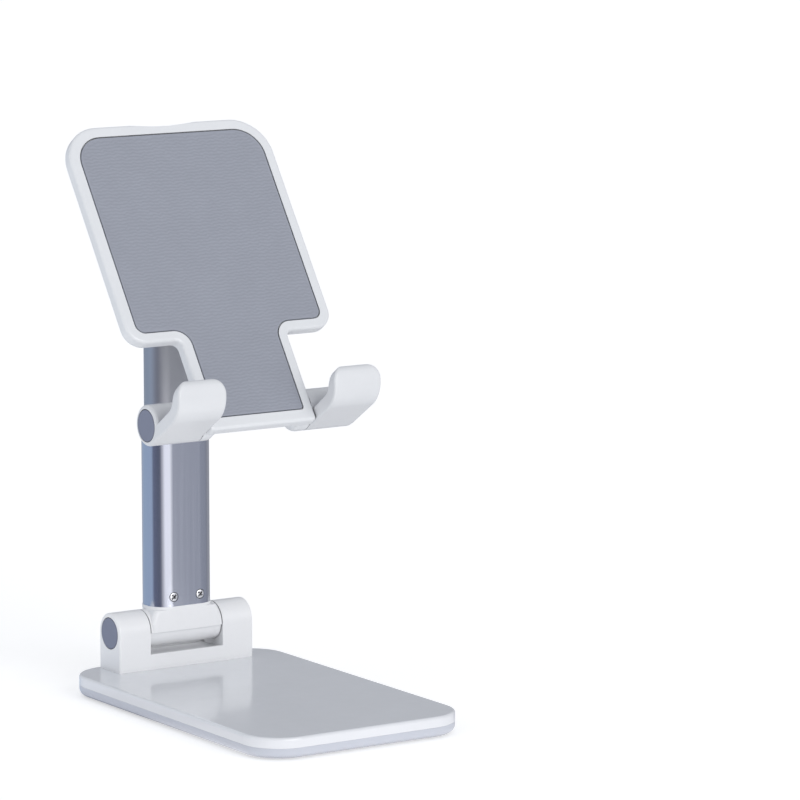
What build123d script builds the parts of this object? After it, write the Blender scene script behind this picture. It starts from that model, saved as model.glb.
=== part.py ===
from build123d import *
from math import sin, cos, radians, sqrt
import os

# Folding desk stand for a phone. A weighted base carries a clevis at its rear edge; a short
# telescopic column folds forward in that clevis, its upper end carries a tilting back plate,
# and two hooks on the foot of the plate hold the phone's lower edge.
# Units: millimetres. Frame: origin at the centre of the base's underside, +X to the right,
# -Y towards the user, +Z up. The stand is drawn raised, with the column fully drawn out.

# ---------------------------------------------------------------- driving dimensions
BASE_W, BASE_L, BASE_R = 76.0, 124.4, 13.0      # base plan and corner radius
BASE_TOP = 7.2                                  # top of the base
SEAM_Z = 3.8                                    # joint line between the two base shells
PAD_PROUD = 0.4                                 # foot pad stands below the lower shell
SHELL = 2.0                                     # side wall of the base shells
SKIN = 1.6                                      # top skin of the base

HY, HZ = 54.4, 19.6                             # base hinge axis (along X)
EAR_R = 6.65                                    # outside radius of the clevis
EAR_X = 25.45                                   # half width of the clevis
GAP_X = 13.8                                    # half width between its ears
WINDOW_Z = 12.3                                 # floor between the ears

FOOT_R, FOOT_X = 5.95, 13.5                     # barrel of the column foot
PIN_R = 1.5                                     # every hinge pin
RUN = 0.05                                      # radial running clearance on the pins

TUBE_W, TUBE_D, TUBE_R, TUBE_T = 23.0, 13.8, 6.3, 0.8   # outer tube section
TUBE_Z0, TUBE_Z1 = 27.4, 89.6
COLLAR_H = 1.4
COL_W, COL_D, COL_R, COL_T = 21.1, 11.9, 5.35, 1.6      # inner column section
COL_Z0, COL_Z1 = 80.8, 147.0
TRAVEL = 46.1                                   # telescopic travel
KEY_Z0, KEY_Z1 = 85.65, 87.55                   # stop key through the tube's rear wall

HEAD_Z = 154.0                                  # head hinge axis height, column drawn out
HEAD_R, HEAD_X = 6.65, 13.35                    # barrel of the column head
NECK_Z = 137.6                                  # lower edge of the head's socket

TILT = 34.4                                     # lean of the back plate from vertical
HOOK_Y, HOOK_Z = 8.9, 95.5                      # hook axis (along X)
HEAD_V, HEAD_W = 74.0, -4.49                    # head axis seen from the hook axis
BACK_W, SPLIT_W, RIM_W, PAD_W = 2.8, 5.2, 7.45, 7.6     # levels across the plate's thickness
PLATE_X, PLATE_V0, PLATE_V1, PLATE_V2 = 38.2, -7.0, 25.15, 103.4
NECK_X = 19.8                                   # half width of the plate's lower tongue
PADX, PAD_V0, PAD_V1, PAD_V2, PAD_NX = 34.3, -2.7, 28.85, 99.2, 16.0
MOAT = 0.4                                      # groove round the pad
KNUCKLE_X = 24.6                                # half width over the head knuckles

HOOK_X0, HOOK_X1 = 20.1, 37.7                   # each hook, from the middle
HOOK_R = 6.6                                    # hook barrel
HOOK_CW, HOOK_CV, HOOK_RO, HOOK_RI = 14.8, 2.6, 9.6, 5.0  # bend of the hook
LIP_A, LIP_R = -9.0, 5.5                        # where the bend ends, and the lip's corners
CAP_R = 5.1

os.makedirs("parts", exist_ok=True)


# ---------------------------------------------------------------- helpers
def bar(w, d, r, z0, z1, x=0.0, y=0.0):
    """Upright bar of rounded rectangular section."""
    return Pos(x, y, z0) * extrude(RectangleRounded(w, d, r), z1 - z0)


def rod(r, x0, x1, y=0.0, z=0.0):
    """Cylinder along X."""
    return Pos(x0, y, z) * (Rot(0, 90, 0) * extrude(Circle(r), x1 - x0))


def post(r, z0, z1, x=0.0, y=0.0):
    """Cylinder along Z."""
    return Pos(x, y, z0) * extrude(Circle(r), z1 - z0)


def box(x0, x1, y0, y1, z0, z1):
    return Pos((x0 + x1) / 2, (y0 + y1) / 2, (z0 + z1) / 2) * Box(x1 - x0, y1 - y0, z1 - z0)


def ring(ro, ri, x0, x1, y=0.0, z=0.0):
    return rod(ro, x0, x1, y, z) - rod(ri, x0, x1, y, z)


def prism_x(pts, x0, x1):
    """Polygon given as (y, z), extruded along X."""
    f = make_face(Polyline(*[(0, a, b) for a, b in pts], close=True))
    return Pos(x0, 0, 0) * extrude(f, x1 - x0, dir=(1, 0, 0))


def cross_slot(z0, z1, x=0.0, y=0.0, size=1.0):
    a = box(x - size, x + size, y - 0.22, y + 0.22, z0, z1)
    b = box(x - 0.22, x + 0.22, y - size, y + size, z0, z1)
    return a + b


def edges_at(shape, axis, value, tol=1e-3):
    """Edges lying wholly in the plane axis = value."""
    out = []
    for e in shape.edges():
        b = e.bounding_box()
        lo, hi = getattr(b.min, axis), getattr(b.max, axis)
        if abs(lo - value) < tol and abs(hi - value) < tol:
            out.append(e)
    return out


def tee(x, v0, v1, v2, nx, r_top, r_sh, r_in, r_bot):
    """The plate's outline: a wide rectangle on a narrower tongue, every corner rounded."""
    pts = [(-nx, v0), (nx, v0), (nx, v1), (x, v1), (x, v2), (-x, v2), (-x, v1), (-nx, v1)]
    face = make_face(Polyline(*pts, close=True))
    radii = {(nx, v0): r_bot, (nx, v1): r_in, (x, v1): r_sh, (x, v2): r_top}
    for (px, pv), r in radii.items():
        corner = [c for c in face.vertices()
                  if abs(abs(c.X) - px) < 1e-4 and abs(c.Y - pv) < 1e-4]
        face = fillet(corner, r)
    return face


def put(name, shape):
    solids = [s for s in shape.solids()]
    part = solids[0] if len(solids) == 1 else Compound(children=solids)
    part.label = name
    MODEL[name] = part
    export_step(part, "parts/" + name + ".step")


MODEL = {}

# ================================================================ base
# Lower shell: a shallow tray with a lip that locates the upper shell, four screw bosses and a
# recess below for the foot pad.
lower = bar(BASE_W, BASE_L, BASE_R, PAD_PROUD, SEAM_Z)
lower = fillet(edges_at(lower, "Z", PAD_PROUD), 2.3)
lower = chamfer(edges_at(lower, "Z", SEAM_Z), 0.1)
lower -= bar(BASE_W - 2 * SHELL, BASE_L - 2 * SHELL, BASE_R - SHELL, 1.8, SEAM_Z + 1)
lip_o = bar(BASE_W - 2 * SHELL - 0.1, BASE_L - 2 * SHELL - 0.1, BASE_R - SHELL - 0.05, 1.8, 4.6)
lip_i = bar(BASE_W - 2 * SHELL - 1.9, BASE_L - 2 * SHELL - 1.9, BASE_R - SHELL - 0.95, 1.8, 4.6)
lower += (lip_o - lip_i)
lower += bar(BASE_W - 2 * SHELL, BASE_L - 2 * SHELL, BASE_R - SHELL, 1.7, 1.8)
FOOT_W, FOOT_L, FOOT_CR = 64.0, 112.0, 9.0
lower -= bar(FOOT_W, FOOT_L, FOOT_CR, 0.0, 1.0)
SCREW_AT = [(sx * 30.0, sy * 50.0) for sx in (-1, 1) for sy in (-1, 1)]
for x, y in SCREW_AT:
    lower += post(3.0, 1.7, 2.6, x, y)
    lower -= post(1.8, 0.9, 1.7, x, y)
    lower -= post(1.1, 0.9, 3.0, x, y)
put("base_bottom_shell", lower)

# Upper shell: the top skin with its side wall, four pilot bosses and two holes for the clevis.
upper = bar(BASE_W, BASE_L, BASE_R, SEAM_Z, BASE_TOP)
upper = fillet(edges_at(upper, "Z", BASE_TOP), 0.9)
upper = chamfer(edges_at(upper, "Z", SEAM_Z), 0.1)
upper -= bar(BASE_W - 2 * SHELL, BASE_L - 2 * SHELL, BASE_R - SHELL, SEAM_Z - 1, BASE_TOP - SKIN)
for x, y in SCREW_AT:
    upper += post(2.6, 2.6, BASE_TOP - SKIN, x, y)
    upper -= post(0.9, 2.5, 5.4, x, y)
BLOCK_SCREW_X = 19.4
for s in (-1, 1):
    upper -= post(1.2, 5.0, 8.0, s * BLOCK_SCREW_X, HY)
put("base_top_shell", upper)

put("base_weight", bar(52.0, 100.0, 4.0, 1.8, 4.2))

foot = bar(FOOT_W - 0.1, FOOT_L - 0.1, FOOT_CR - 0.05, 0.0, 1.0)
foot = chamfer(edges_at(foot, "Z", 0.0), 0.2)
put("base_foot_pad", foot)

screws = []
for x, y in SCREW_AT:
    s = post(1.7, 1.0, 1.7, x, y) + post(0.9, 1.7, 5.2, x, y)
    s -= cross_slot(0.9, 1.35, x, y, 0.9)
    screws.append(s)
put("base_screws", Compound(children=screws))

# Clevis block at the rear: two round-topped ears over a solid foot.
block = box(-EAR_X, EAR_X, HY - EAR_R, HY + EAR_R, BASE_TOP, HZ) + rod(EAR_R, -EAR_X, EAR_X, HY, HZ)
end_edges = edges_at(block, "X", EAR_X) + edges_at(block, "X", -EAR_X)
end_edges = [e for e in end_edges if e.bounding_box().max.Z > BASE_TOP + 0.01]
block = fillet(end_edges, 0.7)
block -= box(-GAP_X, GAP_X, HY - 10, HY + 10, WINDOW_Z, HZ + 10)
block -= box(-GAP_X, GAP_X, HY - 5.6, HY + 5.6, WINDOW_Z - 0.8, WINDOW_Z)   # relief under the barrel
for s in (-1, 1):
    x0, x1 = sorted((s * 24.25, s * (EAR_X + 1)))
    block -= rod(CAP_R + 0.2, x0, x1, HY, HZ)               # seat of the end cap
    x0, x1 = sorted((s * 21.5, s * 24.5))
    block -= rod(3.45, x0, x1, HY, HZ)                      # counterbore for head or nut
    x0, x1 = sorted((s * (GAP_X - 0.1), s * (GAP_X + 0.5)))
    block -= rod(4.4, x0, x1, HY, HZ)                       # seat of the friction washer
    block -= post(0.95, BASE_TOP - 1, 12.6, s * BLOCK_SCREW_X, HY)
block -= rod(PIN_R, -EAR_X, EAR_X, HY, HZ)
put("hinge_block", block)

put("block_screws", Compound(children=[
    post(2.3, 4.4, BASE_TOP - SKIN, s * BLOCK_SCREW_X, HY)
    + post(0.95, BASE_TOP - SKIN, 12.4, s * BLOCK_SCREW_X, HY)
    - cross_slot(4.3, 4.9, s * BLOCK_SCREW_X, HY, 1.2)
    for s in (-1, 1)]))

# Base hinge: bolt, nut, washers under both, and a friction washer inside each ear.
bolt = rod(2.75, -24.0, -22.0, HY, HZ) + rod(PIN_R, -22.0, 23.8, HY, HZ)
hexa = Pos(-24.0, HY, HZ) * (Rot(0, 90, 0) * extrude(RegularPolygon(1.25, 6, major_radius=False), 1.2))
put("base_hinge_pin", bolt - hexa)
nut = Pos(22.0, HY, HZ) * (Rot(0, 90, 0) * extrude(RegularPolygon(2.5, 6, major_radius=False), 1.8))
put("base_hinge_nut", nut - rod(PIN_R, 21.9, 24.0, HY, HZ))
put("base_hinge_washers", Compound(children=[
    ring(3.1, PIN_R, -22.0, -21.5, HY, HZ), ring(3.1, PIN_R, 21.5, 22.0, HY, HZ),
    ring(4.3, PIN_R, -GAP_X - 0.5, -GAP_X + 0.1, HY, HZ), ring(4.3, PIN_R, GAP_X - 0.1, GAP_X + 0.5, HY, HZ)]))


def end_cap(s, y, z, x_seat, x_face, stem):
    """Round cap with a snap ring behind it; s is the side it faces."""
    a, b = sorted((s * x_seat, s * x_face))
    cap = rod(CAP_R, a, b, y, z)
    cap = fillet(edges_at(cap, "X", s * x_face), 0.3)
    a, b = sorted((s * (x_seat - stem), s * x_seat))
    return cap + ring(3.4, 3.0, a, b, y, z)


put("base_cap_left", end_cap(-1, HY, HZ, 24.25, 25.6, 1.2))
put("base_cap_right", end_cap(1, HY, HZ, 24.25, 25.6, 1.2))

# ================================================================ column
# Foot: barrel in the clevis, short neck, flange and a plug inside the tube.
barrel = rod(FOOT_R, -FOOT_X, FOOT_X, HY, HZ)
NECK_D = 6.9                                    # half depth of the neck
neck = bar(TUBE_W + 0.2, 2 * NECK_D, TUBE_R + 0.05, HZ - 0.25, 26.6, 0, HY)
# Shoulder: fills the space between the ears and tapers up to the tube.
SHOULDER_X = FOOT_X - 0.05
slope = Polyline((-SHOULDER_X, HZ - 0.25), (SHOULDER_X, HZ - 0.25), (SHOULDER_X, HZ + 2.6),
                 (TUBE_W / 2 + 0.1, 26.5), (-TUBE_W / 2 - 0.1, 26.5), (-SHOULDER_X, HZ + 2.6), close=True)
shoulder = Pos(0, HY - NECK_D, 0) * extrude(make_face(Rot(90, 0, 0) * slope), NECK_D, dir=(0, 1, 0))
brow = [e for e in edges_at(shoulder, "Y", HY - NECK_D)
        if HZ - 0.2 < e.center().Z < 26.4]
shoulder = fillet(brow, 1.6)
web = rod(6.6, -SHOULDER_X, SHOULDER_X, HY, HZ) & box(-20, 20, HY - 10, HY + 10, HZ - 0.25, 40)
flange = bar(TUBE_W + 0.4, TUBE_D + 0.1, TUBE_R + 0.05, 26.3, TUBE_Z0, 0, HY)
plug = bar(TUBE_W - 2 * TUBE_T, TUBE_D - 2 * TUBE_T, TUBE_R - TUBE_T, TUBE_Z0, 33.0, 0, HY)
footk = barrel + web + shoulder + neck + flange + plug
footk -= rod(PIN_R + RUN, -FOOT_X - 1, FOOT_X + 1, HY, HZ)
footk -= bar(12.0, 6.0, 1.5, 27.5, 34.0, 0, HY)            # lightening core
TUBE_SCREW_X, TUBE_SCREW_Z = 5.0, 30.6
SCREW_SEAT_R, SCREW_HEAD_R = 1.65, 1.55                     # heads sit flush in the tube wall
TUBE_Y0, TUBE_Y1 = HY - TUBE_D / 2, HY + TUBE_D / 2


def rod_y(r, y0, y1, x=0.0, z=0.0):
    """Cylinder along Y from y0 to y1, y1 > y0."""
    return Pos(x, y0, z) * (Rot(-90, 0, 0) * extrude(Circle(r), y1 - y0))


for x in (-TUBE_SCREW_X, TUBE_SCREW_X):
    footk -= rod_y(0.9, TUBE_Y0, HY - 3.2, x, TUBE_SCREW_Z)
    footk -= rod_y(0.9, HY + 3.2, TUBE_Y1, x, TUBE_SCREW_Z)
put("foot_knuckle", footk)

tube = bar(TUBE_W, TUBE_D, TUBE_R, TUBE_Z0, TUBE_Z1, 0, HY)
tube -= bar(TUBE_W - 2 * TUBE_T, TUBE_D - 2 * TUBE_T, TUBE_R - TUBE_T, TUBE_Z0 - 1, TUBE_Z1 + 1, 0, HY)
for x in (-TUBE_SCREW_X, TUBE_SCREW_X):
    tube -= rod_y(SCREW_SEAT_R, TUBE_Y0 - 1, TUBE_Y1 + 1, x, TUBE_SCREW_Z)
pill = Pos(0, 0, (KEY_Z0 + KEY_Z1) / 2) * (Rot(90, 0, 0) * SlotOverall(9.0, KEY_Z1 - KEY_Z0))
key_cut = Pos(0, TUBE_Y1 + 1, 0) * extrude(pill, 3.0, dir=(0, -1, 0))
tube -= key_cut
put("outer_tube", tube)

collar = bar(TUBE_W, TUBE_D, TUBE_R, TUBE_Z1, TUBE_Z1 + COLLAR_H, 0, HY)
collar = fillet(edges_at(collar, "Z", TUBE_Z1 + COLLAR_H), 0.35)
collar -= bar(TUBE_W - 2 * TUBE_T, TUBE_D - 2 * TUBE_T, TUBE_R - TUBE_T, TUBE_Z1 - 1, TUBE_Z1 + 3, 0, HY)
put("tube_collar", collar)

tube_screws = []
for x in (-TUBE_SCREW_X, TUBE_SCREW_X):
    for s in (-1, 1):
        seat, top = HY + s * (TUBE_D / 2 - TUBE_T), HY + s * (TUBE_D / 2 + 0.05)
        head = rod_y(SCREW_HEAD_R, *sorted((seat, top)), x, TUBE_SCREW_Z)
        head = fillet(edges_at(head, "Y", top), 0.2)
        shaft = rod_y(0.9, *sorted((seat, seat - s * 2.1)), x, TUBE_SCREW_Z)
        a, b = sorted((top - s * 0.45, top + s * 0.5))
        cut = box(x - 0.9, x + 0.9, a, b, TUBE_SCREW_Z - 0.2, TUBE_SCREW_Z + 0.2) \
            + box(x - 0.2, x + 0.2, a, b, TUBE_SCREW_Z - 0.9, TUBE_SCREW_Z + 0.9)
        tube_screws.append(head + shaft - cut)
put("tube_screws", Compound(children=tube_screws))

key = Pos(0, TUBE_Y1 + 0.3, 0) * extrude(pill, TUBE_T + 0.3 + 0.65, dir=(0, -1, 0))
put("stop_key", key)

# ================================================================ mast
col = bar(COL_W, COL_D, COL_R, COL_Z0, COL_Z1, 0, HY)
col -= bar(COL_W - 2 * COL_T, COL_D - 2 * COL_T, COL_R - COL_T, COL_Z0 - 1, COL_Z1 + 1, 0, HY)
COL_Y0, COL_Y1 = HY - COL_D / 2, HY + COL_D / 2
GROOVE = 0.8
col -= box(-4.9, 4.9, COL_Y1 - GROOVE, COL_Y1 + 1, COL_Z0 - 1, 134.5)      # track of the stop key
col -= box(-4.0, 4.0, COL_Y0 - 1, COL_Y0 + COL_T + 0.1, 82.2, 88.2)         # window of the spring
HEAD_SCREW_Z = 142.0
for x in (-5.0, 5.0):
    col -= rod_y(0.9, COL_Y0 - 1, COL_Y0 + COL_T + 1, x, HEAD_SCREW_Z)
put("inner_column", col)

shoe = bar(COL_W + 0.1, COL_D + 0.1, COL_R, 79.5, COL_Z0, 0, HY)
shoe += bar(COL_W - 2 * COL_T, COL_D - 2 * COL_T, COL_R - COL_T, COL_Z0, 89.0, 0, HY)
shoe -= bar(13.5, 4.6, 1.2, 79.0, 90.0, 0, HY)
shoe += box(-4.7, 4.7, COL_Y1 - GROOVE + 0.02, COL_Y1 - 0.02, 80.5, 85.3)
put("glide_shoe", shoe)

# Leaf spring: a bowed strip in the column's window that rubs on the tube.
SP_Y = COL_Y0 + 0.08
outer_arc = ThreePointArc((0, COL_Y0 + COL_T - 0.05, 82.6), (0, SP_Y, 85.2), (0, COL_Y0 + COL_T - 0.05, 87.8))
inner_arc = ThreePointArc((0, COL_Y0 + COL_T - 0.05, 83.2), (0, SP_Y + 0.3, 85.2), (0, COL_Y0 + COL_T - 0.05, 87.2))
leaf_face = make_face([outer_arc,
                       Line((0, COL_Y0 + COL_T - 0.05, 87.8), (0, COL_Y0 + COL_T - 0.05, 87.2)),
                       inner_arc,
                       Line((0, COL_Y0 + COL_T - 0.05, 83.2), (0, COL_Y0 + COL_T - 0.05, 82.6))])
leaf = Pos(-3.5, 0, 0) * extrude(leaf_face, 7.0, dir=(1, 0, 0))
put("friction_spring", leaf)

# Head: socket over the column, and the barrel of the tilt hinge.
hneck = bar(TUBE_W, 2 * HEAD_R, 6.0, NECK_Z, HEAD_Z, 0, HY)
hneck = fillet(edges_at(hneck, "Z", NECK_Z), 0.3)
headk = hneck + rod(HEAD_R, -HEAD_X, HEAD_X, HY, HEAD_Z)
headk -= bar(COL_W, COL_D, COL_R, NECK_Z - 1, COL_Z1, 0, HY)
headk -= rod(PIN_R + RUN, -HEAD_X - 1, HEAD_X + 1, HY, HEAD_Z)
for x in (-5.0, 5.0):
    headk -= rod_y(1.6, HY - HEAD_R - 1, HY - HEAD_R + 0.45, x, HEAD_SCREW_Z)
    headk -= rod_y(0.9, HY - HEAD_R - 1, HY - HEAD_R + 1.5, x, HEAD_SCREW_Z)
put("head_knuckle", headk)

head_screws = []
for x in (-5.0, 5.0):
    y0 = HY - HEAD_R
    sc = rod_y(1.5, y0 + 0.02, y0 + 0.45, x, HEAD_SCREW_Z) + rod_y(0.9, y0 + 0.45, y0 + 3.0, x, HEAD_SCREW_Z)
    sc -= box(x - 0.9, x + 0.9, y0 - 0.5, y0 + 0.3, HEAD_SCREW_Z - 0.2, HEAD_SCREW_Z + 0.2) \
        + box(x - 0.2, x + 0.2, y0 - 0.5, y0 + 0.3, HEAD_SCREW_Z - 0.9, HEAD_SCREW_Z + 0.9)
    head_screws.append(sc)
put("head_screws", Compound(children=head_screws))

# ================================================================ back plate
# Everything on the plate is drawn flat: X across, Y up the plate (v), Z out of its face (w),
# from the hook axis, and then stood up at the lean of the plate.
t = radians(TILT)
PLATE = Plane(origin=(0, HOOK_Y, HOOK_Z), x_dir=(1, 0, 0), z_dir=(0, -cos(t), sin(t)))


def stand(shape):
    return PLATE.location * shape


outline = tee(PLATE_X, PLATE_V0, PLATE_V1, PLATE_V2, NECK_X, 13.0, 6.5, 2.2, 1.3)
cavity = tee(PLATE_X - 2, PLATE_V0 + 2, PLATE_V1 + 2, PLATE_V2 - 2, NECK_X - 2, 11.0, 4.5, 4.0, 1.0)
seat = tee(PADX + MOAT, PAD_V0 - MOAT, PAD_V1 - MOAT, PAD_V2 + MOAT, PAD_NX + MOAT, 9.7, 3.3, 5.4, 1.2)
padface = tee(PADX, PAD_V0, PAD_V1, PAD_V2, PAD_NX, 9.25, 2.9, 5.8, 0.9)

PLATE_SCREWS = [(-28.0, 40.0), (28.0, 40.0), (-28.0, 90.0), (28.0, 90.0), (-11.0, 14.0), (11.0, 14.0)]

back = Pos(0, 0, BACK_W) * extrude(outline, SPLIT_W - BACK_W)
back = fillet(edges_at(back, "Z", BACK_W), 1.5)
back -= Pos(0, 0, BACK_W + 1.2) * extrude(cavity, 5.0)
for x, v in PLATE_SCREWS:
    back += post(2.4, BACK_W + 1.2, SPLIT_W, x, v)
# head knuckles: capsules cut by the gap for the head barrel
cx = KNUCKLE_X - HEAD_R
caps = rod(HEAD_R, -cx, cx, HEAD_V, HEAD_W)
for s in (-1, 1):
    caps += Pos(s * cx, HEAD_V, HEAD_W) * Sphere(HEAD_R)
foot_of = Pos(0, HEAD_V, HEAD_W) * extrude(SlotOverall(2 * KNUCKLE_X, 2 * HEAD_R), BACK_W + 0.3 - HEAD_W)
knuckles = (caps + foot_of) - box(-13.65, 13.65, HEAD_V - 10, HEAD_V + 10, HEAD_W - 10, BACK_W)
back += knuckles
# hook knuckles: short barrels behind the lower corners of the tongue
for s in (-1, 1):
    a, b = sorted((s * 14.8, s * NECK_X))
    kn = rod(HOOK_R, a, b, 0, 0)
    kn = fillet(edges_at(kn, "X", s * 14.8), 2.2)
    kn += box(a, b, -5.6, 5.6, 0.0, BACK_W + 0.4)
    kn = kn & box(a, b, -7, 7, -8, BACK_W + 0.6)
    back += kn
back -= rod(PIN_R, -KNUCKLE_X + 4.6, KNUCKLE_X + 1, HEAD_V, HEAD_W)
for s in (-1, 1):
    a, b = sorted((s * 13.5, s * 14.15))
    back -= rod(4.4, a, b, HEAD_V, HEAD_W)
    a, b = sorted((s * 15.9, s * 21.0))
    back -= rod(PIN_R, a, b, 0, 0)
for x, v in PLATE_SCREWS:
    back -= post(0.9, 3.5, SPLIT_W + 1, x, v)
put("plate_back_shell", stand(back))

front = Pos(0, 0, SPLIT_W) * extrude(outline, RIM_W - SPLIT_W)
front = fillet(edges_at(front, "Z", RIM_W), 1.0)
FLOOR_W = 6.4
front -= Pos(0, 0, FLOOR_W) * extrude(seat, 3.0)
for x, v in PLATE_SCREWS:
    front -= post(2.05, 5.7, FLOOR_W + 1, x, v)
    front -= post(1.0, SPLIT_W - 1, 6.0, x, v)
# finger notch in the top edge
NOTCH_X, NOTCH_D = 13.0, 1.2
nr = (NOTCH_X ** 2 + NOTCH_D ** 2) / (2 * NOTCH_D)
front -= post(nr, SPLIT_W - 0.5, RIM_W + 1, 0, PLATE_V2 - NOTCH_D + nr)
put("plate_front_frame", stand(front))

pad = Pos(0, 0, FLOOR_W) * extrude(padface, PAD_W - FLOOR_W)
pad = fillet(edges_at(pad, "Z", PAD_W), 0.25)
put("phone_pad", stand(pad))

put("plate_screws", stand(Compound(children=[
    post(1.95, 5.7, 6.35, x, v) + post(0.9, 3.6, 5.7, x, v) - cross_slot(5.95, 6.6, x, v, 1.1)
    for x, v in PLATE_SCREWS])))

put("head_hinge_pin", stand(rod(PIN_R, -KNUCKLE_X + 4.8, KNUCKLE_X - 0.4, HEAD_V, HEAD_W)))
put("head_hinge_washers", stand(Compound(children=[
    ring(4.3, PIN_R, -14.15, -13.6, HEAD_V, HEAD_W), ring(4.3, PIN_R, 13.6, 14.15, HEAD_V, HEAD_W)])))

# ================================================================ hooks
def arc_pt(r, deg):
    a = radians(deg)
    return (HOOK_CV + r * sin(a), HOOK_CW + r * cos(a))      # (v, w)


def hook_arm():
    """The hook's J: a flat arm that bends up into the lip, with the lip's corners rounded."""
    x0, x1 = HOOK_X0, HOOK_X1
    o0, o1, o2 = arc_pt(HOOK_RO, -90), arc_pt(HOOK_RO, -45), arc_pt(HOOK_RO, LIP_A)
    i0, i1, i2 = arc_pt(HOOK_RI, -90), arc_pt(HOOK_RI, -45), arc_pt(HOOK_RI, LIP_A)
    tip_r = (HOOK_RO - HOOK_RI) / 2
    mt = arc_pt((HOOK_RO + HOOK_RI) / 2, LIP_A)
    a = radians(LIP_A + 90)
    top = (mt[0] + tip_r * sin(a), mt[1] + tip_r * cos(a))
    p = lambda q: (0, q[0], q[1])
    face = make_face([
        Line(p((-HOOK_R, 0.0)), p(o0)),
        ThreePointArc(p(o0), p(o1), p(o2)),
        ThreePointArc(p(o2), p(top), p(i2)),
        ThreePointArc(p(i2), p(i1), p(i0)),
        Line(p(i0), p((i0[0], 0.0))),
        Line(p((i0[0], 0.0)), p((-HOOK_R, 0.0))),
    ])
    arm = Pos(x0, 0, 0) * extrude(face, x1 - x0, dir=(1, 0, 0))
    vt = mt[0] + tip_r + 0.02
    front = make_face(Polyline((x0, -9), (x1, -9), (x1, vt), (x0, vt), close=True))
    front = fillet([c for c in front.vertices() if c.Y > 0], LIP_R)
    return arm & (Pos(0, 0, -1) * extrude(front, 40))


def hook_pad(s, grow):
    """Grip pad along the inside of the arm and lip; grow deepens it to cut its seat."""
    x0, x1 = HOOK_X0 + 1.3 - grow, HOOK_X1 - 1.9 + grow
    ro, ri = HOOK_RI + 0.5, HOOK_RI - 0.4
    a1 = LIP_A - 4.0 + grow * 6
    w0 = 7.5 - grow
    o0, o1, o2 = arc_pt(ro, -90), arc_pt(ro, -40), arc_pt(ro, a1)
    i0, i1, i2 = arc_pt(ri, -90), arc_pt(ri, -40), arc_pt(ri, a1)
    p = lambda q: (0, q[0], q[1])
    face = make_face([
        Line((0, o0[0], w0), p(o0)), ThreePointArc(p(o0), p(o1), p(o2)), Line(p(o2), p(i2)),
        ThreePointArc(p(i2), p(i1), p(i0)), Line(p(i0), (0, i0[0], w0)), Line((0, i0[0], w0), (0, o0[0], w0))])
    return Pos(x0, 0, 0) * extrude(face, x1 - x0, dir=(1, 0, 0))


arm = hook_arm()
rim = [e for e in arm.edges() if e.bounding_box().max.Z > 8.0 and
       (abs(e.bounding_box().min.X - HOOK_X0) < 1e-3 or abs(e.bounding_box().max.X - HOOK_X1) < 1e-3)]
arm = fillet(rim, 0.8)
barrel = rod(HOOK_R, HOOK_X0, HOOK_X1)
barrel = fillet(edges_at(barrel, "X", HOOK_X1), 1.1)
hook = arm + barrel
hook -= hook_pad(1, 0.05)
hook -= rod(PIN_R + RUN, HOOK_X0 - 1, HOOK_X1 + 1)
hook -= rod(3.45, HOOK_X1 - 3.9, HOOK_X1 - 0.9)
hook -= rod(CAP_R + 0.2, HOOK_X1 - 1.2, HOOK_X1 + 1)
hpad = hook_pad(1, 0.0)
HX = HOOK_X1
a_cap = rod(CAP_R, HX - 1.2, HX + 0.15)
a_cap = fillet(edges_at(a_cap, "X", HX + 0.15), 0.3)
a_cap += ring(3.4, 3.05, HX - 2.5, HX - 1.2)
hpin = rod(PIN_R, 16.0, HX - 3.3) + rod(2.75, HX - 3.3, HX - 1.6)
hpin -= Pos(HX - 1.5, 0, 0) * (Rot(0, -90, 0) * extrude(RegularPolygon(1.25, 6, major_radius=False), 1.2))
hwash = ring(3.1, PIN_R, HX - 3.85, HX - 3.3)

for side, s in (("right", 1), ("left", -1)):
    def place(shape, s=s):
        return stand(shape if s > 0 else mirror(shape, about=Plane.YZ))
    put(side + "_hook", place(hook))
    put(side + "_hook_pad", place(hpad))
    put(side + "_hook_cap", place(a_cap))
    put(side + "_hook_pin", place(hpin))
    put(side + "_hook_washer", place(hwash))

for name, part in MODEL.items():
    b = part.bounding_box()
    print(f"{name:22s} solids {len(part.solids())} volume {part.volume:10.1f} "
          f"box {b.size.X:6.1f} {b.size.Y:6.1f} {b.size.Z:6.1f}")
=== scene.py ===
import bpy, bmesh, math
import numpy as np
from mathutils import Vector, Matrix
from mathutils.geometry import delaunay_2d_cdt


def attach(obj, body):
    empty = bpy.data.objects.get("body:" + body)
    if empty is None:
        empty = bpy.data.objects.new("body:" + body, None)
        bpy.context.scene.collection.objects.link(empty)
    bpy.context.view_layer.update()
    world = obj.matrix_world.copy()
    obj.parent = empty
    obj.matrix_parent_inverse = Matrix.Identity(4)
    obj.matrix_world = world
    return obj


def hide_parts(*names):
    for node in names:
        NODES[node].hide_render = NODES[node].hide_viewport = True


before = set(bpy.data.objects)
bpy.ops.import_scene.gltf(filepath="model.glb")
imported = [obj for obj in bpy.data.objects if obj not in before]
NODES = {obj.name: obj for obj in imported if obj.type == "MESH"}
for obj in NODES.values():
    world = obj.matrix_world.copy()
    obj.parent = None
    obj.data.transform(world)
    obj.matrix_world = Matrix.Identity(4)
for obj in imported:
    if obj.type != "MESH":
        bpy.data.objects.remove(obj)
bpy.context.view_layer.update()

SCENE = bpy.context.scene
MM = 0.001

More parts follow.
